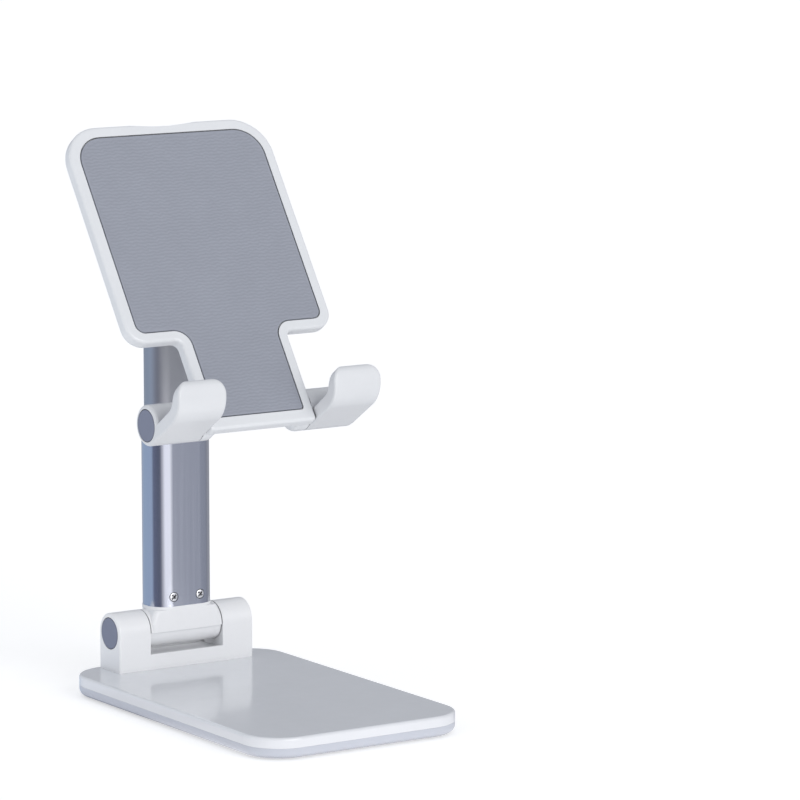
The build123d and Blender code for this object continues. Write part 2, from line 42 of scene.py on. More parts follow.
# The plate's lean and the hook axis, as the model has them.
TILT = math.radians(34.4)
HOOK = Vector((0.0, 8.9, 95.5)) * MM
PLATE = Matrix((
    (1, 0, 0, HOOK.x),
    (0, math.sin(TILT), -math.cos(TILT), HOOK.y),
    (0, math.cos(TILT), math.sin(TILT), HOOK.z),
    (0, 0, 0, 1)))                                  # (x, v, w) to the frame
HINGE_Y, HINGE_Z, HEAD_Z = 54.4, 19.6, 154.0


# ------------------------------------------------------------------ camera
def look(name, at, forward, up, lens):
    cam = bpy.data.cameras.new(name)
    cam.sensor_width, cam.lens = 36.0, lens
    cam.clip_start, cam.clip_end = 0.05, 60.0
    ob = bpy.data.objects.new(name, cam)
    SCENE.collection.objects.link(ob)
    f, u = Vector(forward).normalized(), Vector(up).normalized()
    r = f.cross(u).normalized()
    u = r.cross(f)
    m = Matrix((r, u, -f)).transposed().to_4x4()
    m.translation = Vector(at)
    ob.matrix_world = m
    return ob


SCENE.camera = look("camera", (-0.7926, -1.2769, 0.3353),
                    (0.5453, 0.8241, -0.1537), (0.0848, 0.1282, 0.9882), 215.42)


# ------------------------------------------------------------------ node helpers
class Nodes:
    """A material's node tree, with short names for the nodes it uses."""

    def __init__(self, name):
        self.m = bpy.data.materials.new(name)
        self.m.use_nodes = True
        self.t = self.m.node_tree
        self.t.nodes.clear()
        self.out = self.t.nodes.new("ShaderNodeOutputMaterial")
        self.bsdf = self.t.nodes.new("ShaderNodeBsdfPrincipled")
        self.t.links.new(self.bsdf.outputs[0], self.out.inputs[0])
        self.coord = self.t.nodes.new("ShaderNodeTexCoord").outputs["Object"]

    def set(self, **values):
        for k, v in values.items():
            self.bsdf.inputs[k.replace("_", " ")].default_value = v
        return self

    def put(self, value, socket):
        if isinstance(value, bpy.types.NodeSocket):
            self.t.links.new(value, socket)
        else:
            socket.default_value = value

    def to(self, value, name):
        self.t.links.new(value, self.bsdf.inputs[name])

    def mapping(self, scale=(1, 1, 1), rot=(0, 0, 0), loc=(0, 0, 0), vector=None):
        n = self.t.nodes.new("ShaderNodeMapping")
        self.put(vector or self.coord, n.inputs["Vector"])
        n.inputs["Scale"].default_value = scale
        n.inputs["Rotation"].default_value = rot
        n.inputs["Location"].default_value = loc
        return n.outputs[0]

    def noise(self, scale, detail=3.0, rough=0.5, vector=None, distortion=0.0):
        n = self.t.nodes.new("ShaderNodeTexNoise")
        self.put(vector or self.coord, n.inputs["Vector"])
        n.inputs["Scale"].default_value = scale
        n.inputs["Detail"].default_value = detail
        n.inputs["Roughness"].default_value = rough
        n.inputs["Distortion"].default_value = distortion
        return n.outputs["Fac"]

    def voronoi(self, scale, feature="F1", vector=None, randomness=1.0):
        n = self.t.nodes.new("ShaderNodeTexVoronoi")
        n.feature = feature
        self.put(vector or self.coord, n.inputs["Vector"])
        n.inputs["Scale"].default_value = scale
        n.inputs["Randomness"].default_value = randomness
        return n.outputs["Distance"]

    def math(self, op, a, b=0.0, c=0.0, clamp=False):
        n = self.t.nodes.new("ShaderNodeMath")
        n.operation, n.use_clamp = op, clamp
        self.put(a, n.inputs[0])
        self.put(b, n.inputs[1])
        self.put(c, n.inputs[2])
        return n.outputs[0]

    def span(self, value, lo, hi, to_lo, to_hi, smooth=False):
        n = self.t.nodes.new("ShaderNodeMapRange")
        n.interpolation_type = "SMOOTHSTEP" if smooth else "LINEAR"
        self.put(value, n.inputs["Value"])
        for k, v in (("From Min", lo), ("From Max", hi), ("To Min", to_lo), ("To Max", to_hi)):
            n.inputs[k].default_value = v
        return n.outputs["Result"]

    def mix(self, fac, a, b):
        n = self.t.nodes.new("ShaderNodeMix")
        n.data_type = "RGBA"
        self.put(fac, n.inputs["Factor"])
        for v, k in ((a, 6), (b, 7)):
            self.put(v if isinstance(v, bpy.types.NodeSocket) else (*v[:3], 1.0), n.inputs[k])
        return n.outputs[2]

    def bump(self, height, strength, distance, under=None):
        n = self.t.nodes.new("ShaderNodeBump")
        n.inputs["Strength"].default_value = strength
        n.inputs["Distance"].default_value = distance
        self.put(height, n.inputs["Height"])
        if under is not None:
            self.put(under, n.inputs["Normal"])
        return n.outputs["Normal"]

    def split(self, vector=None):
        n = self.t.nodes.new("ShaderNodeSeparateXYZ")
        self.put(vector or self.coord, n.inputs[0])
        return n.outputs

    def attribute(self, name):
        n = self.t.nodes.new("ShaderNodeAttribute")
        n.attribute_name = name
        return n.outputs["Fac"]

    def hollow(self, distance):
        """0 on open surface, towards 1 deep in a recess or joint."""
        n = self.t.nodes.new("ShaderNodeAmbientOcclusion")
        n.samples = 6
        n.inputs["Distance"].default_value = distance
        return self.math("SUBTRACT", 1.0, n.outputs["AO"])

    def edge(self, radius):
        """1 along sharp edges within the radius, 0 on open surface."""
        b = self.t.nodes.new("ShaderNodeBevel")
        b.samples = 4
        b.inputs["Radius"].default_value = radius
        g = self.t.nodes.new("ShaderNodeNewGeometry")
        d = self.t.nodes.new("ShaderNodeVectorMath")
        d.operation = "DOT_PRODUCT"
        self.t.links.new(b.outputs[0], d.inputs[0])
        self.t.links.new(g.outputs["Normal"], d.inputs[1])
        return self.span(d.outputs["Value"], 0.995, 0.90, 0.0, 1.0)


def tint(c, k):
    return tuple(min(1.0, v * k) for v in c)


def moulded(name, colour, rough, spark=0.05, coat=0.25, coat_rough=0.08, grain=9000.0, depth=0.000012, face=None):
    """Injection-moulded ABS: faint flow clouding, a fine eroded mould grain, handling marks, and painted shade deep
    in gaps and slots.
    face: (height, colour) of the upper face, painted in a darker tone as shade for how light falls on it."""
    n = Nodes(name)
    cloud = n.noise(55.0, 4.0, 0.55)
    fine = n.noise(900.0, 3.0, 0.6)
    shade = n.math("ADD", n.math("MULTIPLY", cloud, 0.7), n.math("MULTIPLY", fine, 0.3))
    base = n.mix(n.span(shade, 0.35, 0.65, 0.0, 1.0), tint(colour, 0.985), tint(colour, 1.012))
    # painted shade: the upper face above the given height gets the darker colour
    if face:
        up = n.span(n.split()[2], face[0] - 0.00022, face[0] - 0.00004, 0.0, 1.0, True)
        top = n.mix(n.span(shade, 0.35, 0.65, 0.0, 1.0), tint(face[1], 0.985), tint(face[1], 1.012))
        base = n.mix(up, base, top)
    wear = n.math("MULTIPLY", n.edge(0.00035), n.span(n.noise(420.0, 3.0), 0.42, 0.62, 0.0, 0.55))
    base = n.mix(wear, base, tint(colour, 1.05))
    deep = n.span(n.hollow(0.004), 0.54, 0.88, 0.0, 0.72, True)         # painted shade: darkened deep in gaps and slots, where shade falls
    base = n.mix(deep, base, tint(colour, 0.30))
    n.to(base, "Base Color")
    scuff = n.noise(1.0, 5.0, 0.65, n.mapping((240, 240, 1400), (0.5, 0.4, 0.3)))
    r = n.math("ADD", n.span(scuff, 0.3, 0.75, rough - 0.02, rough + 0.035),
               n.math("MULTIPLY", wear, 0.12))
    n.to(r, "Roughness")
    g = n.bump(n.noise(grain, 2.0, 0.6), spark, depth)
    g = n.bump(n.noise(70.0, 1.0, 0.4), 0.05, 0.00025, g)
    n.to(g, "Normal")
    n.set(IOR=1.53, Coat_Weight=coat, Coat_Roughness=coat_rough, Specular_IOR_Level=0.5)
    return n.m


def drawn_metal(name, colour, rough, along="Z", lines=0.035, aniso=0.0):
    """Extruded and anodised aluminium: fine draw lines along its length."""
    n = Nodes(name)
    stretch = {"Z": (5200, 5200, 26), "X": (26, 5200, 5200)}[along]
    wide = {"Z": (900, 900, 7), "X": (7, 900, 900)}[along]
    a = n.noise(1.0, 3.0, 0.6, n.mapping(stretch))
    b = n.noise(1.0, 2.0, 0.5, n.mapping(wide))
    l = n.math("ADD", n.math("MULTIPLY", a, 0.6), n.math("MULTIPLY", b, 0.4))
    cloud = n.noise(38.0, 3.0, 0.5)
    base = n.mix(n.span(l, 0.38, 0.62, 0.0, 1.0), tint(colour, 0.98), tint(colour, 1.02))
    base = n.mix(n.span(cloud, 0.35, 0.65, 0.0, 0.35), base, tint(colour, 0.97))
    wear = n.edge(0.00018)
    base = n.mix(n.math("MULTIPLY", wear, 0.5), base, tint(colour, 1.3))
    n.to(base, "Base Color")
    n.to(n.span(l, 0.3, 0.7, rough - 0.03, rough + 0.04), "Roughness")
    n.to(n.bump(l, lines, 0.00001), "Normal")
    n.set(Metallic=1.0, Anisotropic=aniso, Anisotropic_Rotation=0.0)
    return n.m


def plated(name, colour, rough=0.16):
    """Nickel-plated steel with turning marks, and painted shade, near black, in its hollows."""
    n = Nodes(name)
    a = n.noise(2400.0, 3.0, 0.6)
    base = n.mix(n.span(a, 0.35, 0.65, 0.0, 1.0), tint(colour, 0.93), tint(colour, 1.04))
    # painted shade: hollows such as the cross recess darkened almost to black
    base = n.mix(n.span(n.hollow(0.0007), 0.14, 0.46, 0.0, 0.98), base, (0.010, 0.010, 0.013))
    n.to(base, "Base Color")
    n.to(n.span(n.noise(700.0, 3.0), 0.3, 0.7, rough, rough + 0.12), "Roughness")
    n.to(n.bump(a, 0.12, 0.00001), "Normal")
    n.set(Metallic=1.0)
    return n.m


def silicone(name, colour, rough, grain=5200.0, strength=0.25, depth=0.00003, sheen=0.15, relief=None):
    """Moulded silicone rubber: matt grain, faint dusting, soft sheen at grazing angles."""
    n = Nodes(name)
    cloud = n.noise(90.0, 4.0, 0.6)
    grit = n.noise(grain, 3.0, 0.6)
    dust = n.span(n.noise(1500.0, 2.0, 0.7), 0.60, 0.76, 0.0, 0.25)
    base = n.mix(n.span(cloud, 0.3, 0.7, 0.0, 1.0), tint(colour, 0.975), tint(colour, 1.025))
    base = n.mix(dust, base, tint(colour, 1.12))
    if relief:
        # painted shade: the relief's grooves darker, on the phone pad and the foot pad
        groove_shade = n.span(n.attribute(relief), 0.0, 0.75, 1.0, 0.0, True)
        base = n.mix(n.math("MULTIPLY", groove_shade, 0.45), base, tint(colour, 0.80))
    n.to(base, "Base Color")
    n.to(n.span(grit, 0.3, 0.7, rough - 0.06, rough + 0.06), "Roughness")
    n.to(n.bump(grit, strength, depth), "Normal")
    n.set(IOR=1.42, Sheen_Weight=sheen, Sheen_Roughness=0.45, Specular_IOR_Level=0.45)
    return n.m


MAT = {
    "white": moulded("white_abs", (0.765, 0.778, 0.798), 0.32),
    # painted shade: a darker copy of the white ABS for the hooks
    "hook": moulded("hook_abs_painted_darker", (0.725, 0.735, 0.755), 0.30),
    # painted light: a lighter copy of the white ABS for the hinge block and foot knuckle, which sit in the plate's
    # shade
    "bright": moulded("white_abs_painted_lighter", (0.86, 0.862, 0.872), 0.30),
    # painted shade: the base's upper face darker than its sides
    "base": moulded("base_abs", (0.775, 0.785, 0.815), 0.17, spark=0.02, coat=0.35, coat_rough=0.05,
                    face=(0.0072, (0.725, 0.742, 0.775))),
    # painted shade: the bottom shell darker and bluer, standing in for the shade on the base's underside rounding
    "lower": moulded("lower_abs_painted_shade", (0.55, 0.572, 0.635), 0.34),
    "collar": moulded("collar_abs", (0.86, 0.865, 0.88), 0.26),
    "key": moulded("key_acetal", (0.90, 0.905, 0.92), 0.34, coat=0.0),
    "cap": moulded("cap_grey", (0.205, 0.222, 0.300), 0.46, spark=0.10, coat=0.0, grain=6500.0),
    "tube": drawn_metal("tube_aluminium", (0.60, 0.62, 0.68), 0.18),
    "column": drawn_metal("column_aluminium", (0.475, 0.48, 0.505), 0.46),
    "pad": silicone("pad_silicone", (0.322, 0.339, 0.392), 0.62, relief="relief", sheen=0.05),
    "grip": silicone("grip_silicone", (0.20, 0.205, 0.26), 0.44, grain=7000.0, strength=0.12),
    "foot": silicone("foot_silicone", (0.20, 0.205, 0.235), 0.72, grain=3800.0, strength=0.4, relief="relief"),
    "screw": plated("nickel_plate", (0.94, 0.94, 0.95), 0.30),
    "steel": plated("plain_steel", (0.46, 0.46, 0.47), 0.34),
    "slide": moulded("slide_acetal", (0.82, 0.82, 0.80), 0.38, coat=0.0),
}

WEARS = {
    "bright": "hinge_block foot_knuckle",
    "white": "head_knuckle plate_back_shell plate_front_frame", "hook": "left_hook right_hook",
    "collar": "tube_collar", "key": "stop_key", "base": "base_top_shell", "lower": "base_bottom_shell",
    "cap": "base_cap_left base_cap_right left_hook_cap right_hook_cap",
    "tube": "outer_tube", "column": "inner_column", "pad": "phone_pad",
    "grip": "left_hook_pad right_hook_pad", "foot": "base_foot_pad",
    "screw": "base_screws block_screws tube_screws head_screws plate_screws base_hinge_pin base_hinge_nut "
             "head_hinge_pin left_hook_pin right_hook_pin",
    "steel": "base_weight base_hinge_washers head_hinge_washers left_hook_washer right_hook_washer friction_spring",
    "slide": "glide_shoe",
}
for key, names in WEARS.items():
    for name in names.split():
        me = NODES[name].data
        if not me.materials:
            me.materials.append(MAT[key])
        for i in range(len(me.materials)):
            me.materials[i] = MAT[key]


# ------------------------------------------------------------------ mesh helpers
def piece(name, verts, faces, material, body, matrix=None, sharp=35.0):
    """A mesh given in millimetres, placed by a matrix in metres, riding on a body."""
    me = bpy.data.meshes.new(name)
    me.from_pydata([tuple(v) for v in verts], [], [tuple(f) for f in faces])
    me.transform(Matrix.Scale(MM, 4))
    if matrix is not None:
        me.transform(matrix)
    bm = bmesh.new()
    bm.from_mesh(me)
    bmesh.ops.remove_doubles(bm, verts=bm.verts, dist=1e-8)
    bmesh.ops.recalc_face_normals(bm, faces=bm.faces)
    bm.to_mesh(me)
    bm.free()
    me.shade_smooth()
    me.set_sharp_from_angle(angle=math.radians(sharp))
    me.materials.append(MAT[material])
    ob = bpy.data.objects.new(name, me)
    SCENE.collection.objects.link(ob)
    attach(ob, body)
    return ob


def outline(corners, off=0.0, seg=12):
    """Rounded polygon, anticlockwise, moved inward by off. corners: (x, y, radius); the same
    number of points whatever off is, so that two of them make a strip of quads."""
    pts, n = [], len(corners)
    for i, (x, y, r) in enumerate(corners):
        p = Vector((x, y))
        a = (Vector(corners[i - 1][:2]) - p).normalized()
        b = (Vector(corners[(i + 1) % n][:2]) - p).normalized()
        turn = math.acos(max(-1, min(1, a.dot(b))))
        bis = (a + b).normalized()
        c = p + bis * (r / math.sin(turn / 2))
        convex = (-a).cross(b) > 0
        rr = r - off if convex else r + off
        na = Vector((-a.y, a.x)) if convex else Vector((a.y, -a.x))
        nb = Vector((b.y, -b.x)) if convex else Vector((-b.y, b.x))
        # unit directions from the arc's centre to its two ends
        ea = (p + a * (r / math.tan(turn / 2)) - c).normalized()
        eb = (p + b * (r / math.tan(turn / 2)) - c).normalized()
        sweep = math.acos(max(-1, min(1, ea.dot(eb))))
        sgn = 1 if ea.cross(eb) > 0 else -1
        for k in range(seg + 1):
            t = sgn * sweep * k / seg
            d = Vector((ea.x * math.cos(t) - ea.y * math.sin(t), ea.x * math.sin(t) + ea.y * math.cos(t)))
            pts.append(tuple(c + d * rr))
    return pts


def tee_corners(x, v0, v1, v2, nx, r_top, r_sh, r_in, r_bot):
    return [(-nx, v0, r_bot), (nx, v0, r_bot), (nx, v1, r_in), (x, v1, r_sh), (x, v2, r_top),
            (-x, v2, r_top), (-x, v1, r_sh), (-nx, v1, r_in)]


def resample(loop, step):
    """Points added along a loop's long runs; the same division for every loop given together."""
    ref = np.array(loop[0])
    out = [[] for _ in loop]
    n = len(ref)
    for i in range(n):
        d = np.linalg.norm(ref[(i + 1) % n] - ref[i])
        k = max(1, int(round(d / step)))
        for j, lp in enumerate(loop):
            a, b = np.array(lp[i]), np.array(lp[(i + 1) % n])
            for q in range(k):
                out[j].append(tuple(a + (b - a) * q / k))
    return out


def inside(poly, px, py):
    """Even-odd test of many points against one polygon."""
    x, y = np.array(poly)[:, 0], np.array(poly)[:, 1]
    x2, y2 = np.roll(x, -1), np.roll(y, -1)
    hit = np.zeros(px.shape, bool)
    for a, b, c, d in zip(x, y, x2, y2):
        if b == d:
            continue
        m = ((b > py) != (d > py)) & (px < (c - a) * (py - b) / (d - b) + a)
        hit ^= m
    return hit


def sheet(corners, rings, floor, height, step, wall_seg=1):
    """A closed flat piece with a rounded edge and a worked top.
    corners: outline; rings: [(inward, level)] from the edge to the start of the top; floor: its
    underside; height(x, y): level of the top; step: (dx, dy) of the top's grid."""
    loops = resample([outline(corners, o) for o, _ in rings], 1.2)
    verts, faces = [], []

    def add(loop, level):
        start = len(verts)
        for p in loop:
            verts.append((p[0], p[1], level if level is not None else float(height(np.array([p[0]]), np.array([p[1]]))[0])))
        return start

    base = add(loops[0], floor)
    starts = [base] + [add(lp, lv) for lp, (_, lv) in zip(loops, rings)]
    n = len(loops[0])
    for a, b in zip(starts, starts[1:]):
        for i in range(n):
            j = (i + 1) % n
            faces.append((a + i, a + j, b + j, b + i))
    faces.append(tuple(base + i for i in reversed(range(n))))
    inner = loops[-1]
    top_start = starts[-1]
    # grid of the top, well inside the last ring
    ax = np.array(inner)
    x0, y0, x1, y1 = ax[:, 0].min(), ax[:, 1].min(), ax[:, 0].max(), ax[:, 1].max()
    nx, ny = int((x1 - x0) / step[0]), int((y1 - y0) / step[1])
    gx, gy = np.linspace(x0, x1, nx + 1), np.linspace(y0, y1, ny + 1)
    X, Y = np.meshgrid(gx, gy)
    guard = outline(corners, rings[-1][0] + 0.6 * max(step))
    ok = inside(guard, X, Y)
    cell = ok[:-1, :-1] & ok[1:, :-1] & ok[:-1, 1:] & ok[1:, 1:]
    used = np.zeros_like(ok)
    used[:-1, :-1] |= cell
    used[1:, :-1] |= cell
    used[:-1, 1:] |= cell
    used[1:, 1:] |= cell
    index = -np.ones(ok.shape, int)
    index[used] = len(verts) + np.arange(used.sum())
    Z = height(X[used], Y[used])
    verts.extend(zip(X[used].tolist(), Y[used].tolist(), Z.tolist()))
    r, c = np.nonzero(cell)
    faces.extend(zip(index[r, c].tolist(), index[r, c + 1].tolist(),
                     index[r + 1, c + 1].tolist(), index[r + 1, c].tolist()))
    # the strip between the last ring and the grid's ragged edge
    edges = {}
    for rr, cc in zip(r.tolist(), c.tolist()):
        q = (index[rr, cc], index[rr, cc + 1], index[rr + 1, cc + 1], index[rr + 1, cc])
        for a, b in zip(q, q[1:] + q[:1]):
            k = (min(a, b), max(a, b))
            edges[k] = edges.get(k, 0) + 1
    rag = [k for k, v in edges.items() if v == 1]
    ids = list(range(top_start, top_start + n)) + sorted({i for e in rag for i in e})
    where = {g: i for i, g in enumerate(ids)}
    pts = [Vector(verts[g][:2]) for g in ids]
    con = [(i, (i + 1) % n) for i in range(n)] + [(where[a], where[b]) for a, b in rag]
    pv, _, pf, pid, _, _ = delaunay_2d_cdt(pts, con, [], 1, 1e-6)
    cen = np.array([[sum(pv[i].x for i in f) / len(f), sum(pv[i].y for i in f) / len(f)] for f in pf])
    ring_in = inside([p[:2] for p in inner], cen[:, 0], cen[:, 1])
    ci = np.clip(((cen[:, 0] - x0) / (x1 - x0) * nx).astype(int), 0, nx - 1)
    ri = np.clip(((cen[:, 1] - y0) / (y1 - y0) * ny).astype(int), 0, ny - 1)
    keep = ring_in & ~cell[ri, ci]
    for f, k in zip(pf, keep):
        if k:
            faces.append(tuple(ids[pid[i][0]] for i in f))
    return verts, faces


def lathe(profile, seg=48):
    """Closed surface of revolution about Z; the profile starts and ends on the axis."""
    verts, faces = [(0, 0, profile[0][1])], []
    rings = []
    for r, z in profile[1:-1]:
        rings.append(len(verts))
        verts += [(r * math.cos(2 * math.pi * k / seg), r * math.sin(2 * math.pi * k / seg), z) for k in range(seg)]
    end = len(verts)
    verts.append((0, 0, profile[-1][1]))
    for k in range(seg):
        j = (k + 1) % seg
        faces.append((0, rings[0] + j, rings[0] + k))
        for a, b in zip(rings, rings[1:]):
            faces.append((a + k, a + j, b + j, b + k))
        faces.append((rings[-1] + k, rings[-1] + j, end))
    return verts, faces


# ------------------------------------------------------------------ phone pad
PAD_FLOOR, PAD_TOP = 6.4, 7.6


def wave_rows(x, v):
    """Height of the pad's grip: low wavy ribs that break up into short lengths."""
    warp = 0.10 * np.sin(2 * np.pi * x / 11.0 + 0.7 * np.sin(v / 5.0)) + 0.06 * np.sin(2 * np.pi * v / 13.0 + x / 4.3)
    phase = v / 1.2 + 0.12 * np.sin(2 * np.pi * (x / 4.6 + warp)) + 0.07 * np.sin(2 * np.pi * (x / 2.1 - v / 9.0)) \
        + 0.10 * np.sin(2 * np.pi * (x / 3.1 + v / 5.7)) + 0.12 * np.sin(2 * np.pi * (x / 17.0 - v / 23.0))
    rib = 0.5 + 0.5 * np.cos(2 * np.pi * phase)
    row = np.floor(phase + 0.5)
    broken = 0.74 + 0.16 * np.sin(2 * np.pi * (x / 2.1 + 0.37 * row + 2.0 * warp)) \
        + 0.10 * np.sin(2 * np.pi * (x / 7.3 + 0.618 * row * row))
    return rib ** 0.8 * broken


def pad_level(x, v):
    return PAD_TOP - 0.10 + 0.10 * wave_rows(x, v)


pad_corners = tee_corners(34.3, -2.7, 28.85, 99.2, 16.0, 9.25, 2.9, 5.8, 0.9)
edge_r = 0.30
rings = [(edge_r * (1 - math.cos(a)), PAD_TOP - 0.04 - edge_r + edge_r * math.sin(a))
         for a in [math.radians(k * 15) for k in range(7)]]
rings.append((0.75, PAD_TOP - 0.045))
pv, pf = sheet(pad_corners, rings, PAD_FLOOR, pad_level, ((0.32, 0.20)))
pad = piece("pad_grip_surface", pv, pf, "pad", "plate", PLATE, 60.0)
flat = PLATE.inverted()
co = np.array([tuple(flat @ v.co) for v in pad.data.vertices]) / MM
rel = pad.data.attributes.new("relief", "FLOAT", "POINT")
worked = (co[:, 2] > PAD_TOP - 0.2) & inside(outline(pad_corners, 0.6), co[:, 0], co[:, 1])
rel.data.foreach_set("value", np.where(worked, wave_rows(co[:, 0], co[:, 1]), 0.75).astype(np.float32))
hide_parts("phone_pad")


# ------------------------------------------------------------------ foot pad
def tread(x, y):
    """0 on the foot pad's face, towards 1 in the grooves that cut it into diamonds."""
    out = np.zeros_like(x)
    for d in (x + y, x - y):
        off = np.abs((d / 5.0 + 0.5) % 1.0 - 0.5) * 5.0
        out = np.maximum(out, np.clip(1.15 - off / 0.62, 0.0, 1.0))
    frame_w = np.clip((np.minimum(31.95 - np.abs(x), 55.95 - np.abs(y)) - 2.4) / 0.8, 0.0, 1.0)
    return out * frame_w


foot_corners = [(-31.95, -55.95, 8.95), (31.95, -55.95, 8.95), (31.95, 55.95, 8.95), (-31.95, 55.95, 8.95)]
foot_rings = [(0.2 * (1 - math.cos(a)), -0.2 + 0.2 * math.sin(a)) for a in [math.radians(k * 22.5) for k in range(5)]]
foot_rings.append((0.9, 0.0))
fv, ff = sheet(foot_corners, foot_rings, -1.0, lambda x, y: -0.22 * tread(x, y), ((0.4, 0.4)))
foot = piece("foot_grip_surface", fv, ff, "foot", "base", Matrix.Rotation(math.pi, 4, "X"), 60.0)
fo = np.array([tuple(v.co) for v in foot.data.vertices]) / MM
mark = foot.data.attributes.new("relief", "FLOAT", "POINT")
mark.data.foreach_set("value", (1.0 - np.where(fo[:, 2] < 0.5, tread(fo[:, 0], fo[:, 1]), 0.0)).astype(np.float32))
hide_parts("base_foot_pad")


# ------------------------------------------------------------------ cross-recess screws
def cross_screw(r, dome, depth, shaft_r, shaft_len):
    """Pan-head screw along +Z with its seat at z = -0.8 and a tapered cross recess."""
    prof = [(0, dome)]
    for k in range(1, 9):
        a = k / 8 * math.pi / 2
        prof.append((r * 0.97 * math.sin(a), dome * math.cos(a) ** 0.9 + 0.0))
    prof += [(r, -0.05), (r, -0.72), (r * 0.97, -0.78), (shaft_r, -0.78), (shaft_r, -0.8 - shaft_len), (0, -0.8 - shaft_len)]
    v, f = lathe(prof, 56)
    me = bpy.data.meshes.new("head")
    me.from_pydata(v, [], f)
    head = bpy.data.objects.new("head", me)
    SCENE.collection.objects.link(head)
    # the tool: two crossed blades that narrow with depth
    tv, tf = [], []
    for turn in (0, 1):
        top, bot, w_top, w_bot = r * 0.80, r * 0.36, r * 0.22, r * 0.12
        s = len(tv)
        for (L, W, z) in ((top, w_top, dome + 0.3), (top, w_top, dome - 0.05), (bot, w_bot, dome - depth)):
            for sx, sy in ((-1, -1), (1, -1), (1, 1), (-1, 1)):
                x, y = sx * L, sy * W
                tv.append((x, y, z) if not turn else (-y, x, z))
        tf.append((s + 3, s + 2, s + 1, s))
        for a in (0, 4):
            for k in range(4):
                j = (k + 1) % 4
                tf.append((s + a + k, s + a + j, s + a + 4 + j, s + a + 4 + k))
        tf.append((s + 8, s + 9, s + 10, s + 11))
    tools = []
    for turn in (0, 1):
        tm = bpy.data.meshes.new("blade")
        tm.from_pydata(tv[turn * 12:turn * 12 + 12], [], [tuple(i - turn * 12 for i in q) for q in tf[turn * 6 + turn * 4:turn * 6 + turn * 4 + 10]])
        b = bmesh.new()
        b.from_mesh(tm)
        bmesh.ops.recalc_face_normals(b, faces=b.faces)
        b.to_mesh(tm)
        b.free()
        to = bpy.data.objects.new("blade", tm)
        SCENE.collection.objects.link(to)
        tools.append(to)
        mod = head.modifiers.new("cut", "BOOLEAN")
        mod.operation, mod.solver, mod.object = "DIFFERENCE", "EXACT", to
    bev = head.modifiers.new("soft", "BEVEL")
    bev.width, bev.segments, bev.limit_method, bev.angle_limit = 0.035 * r, 2, "ANGLE", math.radians(40)
    deps = bpy.context.evaluated_depsgraph_get()
    done = bpy.data.meshes.new_from_object(head.evaluated_get(deps))
    verts = [tuple(v.co) for v in done.vertices]
    faces = [tuple(p.vertices) for p in done.polygons]
    for o in [head] + tools:
        bpy.data.objects.remove(o)
    return verts, faces


def screw_set(name, places, body, replaced, material="screw", size=(1.44, 0.16, 0.75, 0.85, 1.6)):
    """places: matrices in millimetres, from the screw's own frame."""
    sv, sf = cross_screw(*size)
    verts, faces = [], []
    for m in places:
        s = len(verts)
        verts += [tuple(m @ Vector(v)) for v in sv]
        faces += [tuple(i + s for i in f) for f in sf]
    ob = piece(name, verts, faces, material, body, None, 30.0)
    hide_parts(replaced)
    return ob


def facing(x, y, z, sign, turn):
    """Frame at a point on a wall facing sign * Y, the screw turned by turn degrees."""
    rot = Matrix.Rotation(math.radians(-90 * sign), 4, "X")
    return Matrix.Translation((x, y, z)) @ rot @ Matrix.Rotation(math.radians(turn), 4, "Z")


screw_set("tube_cross_screws",
          [facing(-5.0, HINGE_Y - 6.9, 30.6, -1, 42), facing(5.0, HINGE_Y - 6.9, 30.6, -1, 47),
           facing(-5.0, HINGE_Y + 6.9, 30.6, 1, 12), facing(5.0, HINGE_Y + 6.9, 30.6, 1, 38)],
          "column", "tube_screws")
screw_set("head_cross_screws",
          [facing(-5.0, HINGE_Y - 6.65, 142.0, -1, 20), facing(5.0, HINGE_Y - 6.65, 142.0, -1, 63)],
          "mast", "head_screws", size=(1.5, 0.0, 0.42, 0.85, 2.0))


# ------------------------------------------------------------------ floor and light
# What shiny surfaces see round the horizon: a soft studio with pale panels and darker gaps.
# (azimuth, colour); azimuth 0 is -Y, 90 is +X.
STUDIO = [(-180, (0.50, 0.57, 0.68)), (-150, (0.41, 0.52, 0.69)), (-102, (0.42, 0.52, 0.70)),
          (-86, (0.15, 0.17, 0.26)), (-48, (0.14, 0.155, 0.22)), (-33, (0.66, 0.66, 0.72)),
          (-20, (1.22, 1.22, 1.30)), (12, (1.22, 1.22, 1.29)), (23, (0.74, 0.75, 0.80)),
          (31, (0.375, 0.395, 0.465)), (70, (0.345, 0.365, 0.43)), (84, (0.30, 0.31, 0.36)),
          (100, (0.44, 0.45, 0.49)), (122, (0.34, 0.35, 0.38)), (164, (0.34, 0.35, 0.39)),
          (180, (0.50, 0.57, 0.68))]
AMBIENT = 0.57


def studio_colour(tree, vector, centre=(0.0, 0.0544)):
    """Colour of the panels by azimuth, from a direction or a place on the floor."""
    sep = tree.nodes.new("ShaderNodeSeparateXYZ")
    tree.links.new(vector, sep.inputs[0])

    def m(op, a, b):
        n = tree.nodes.new("ShaderNodeMath")
        n.operation = op
        for v, i in ((a, 0), (b, 1)):
            if isinstance(v, bpy.types.NodeSocket):
                tree.links.new(v, n.inputs[i])
            else:
                n.inputs[i].default_value = v
        return n.outputs[0]

    az = m("ARCTAN2", m("SUBTRACT", sep.outputs[0], centre[0]), m("SUBTRACT", centre[1], sep.outputs[1]))
    t = m("MULTIPLY_ADD", az, 1 / (2 * math.pi))
    t.node.inputs[2].default_value = 0.5
    ramp = tree.nodes.new("ShaderNodeValToRGB")
    ramp.color_ramp.interpolation = "EASE"
    el = ramp.color_ramp.elements
    while len(el) > 1:
        el.remove(el[-1])
    el[0].position, el[0].color = 0.0, (*STUDIO[0][1], 1)
    for deg, c in STUDIO[1:]:
        e = el.new((deg + 180) / 360)
        e.color = (*c, 1)
    tree.links.new(t, ramp.inputs[0])
    return ramp.outputs[0], sep.outputs[2]


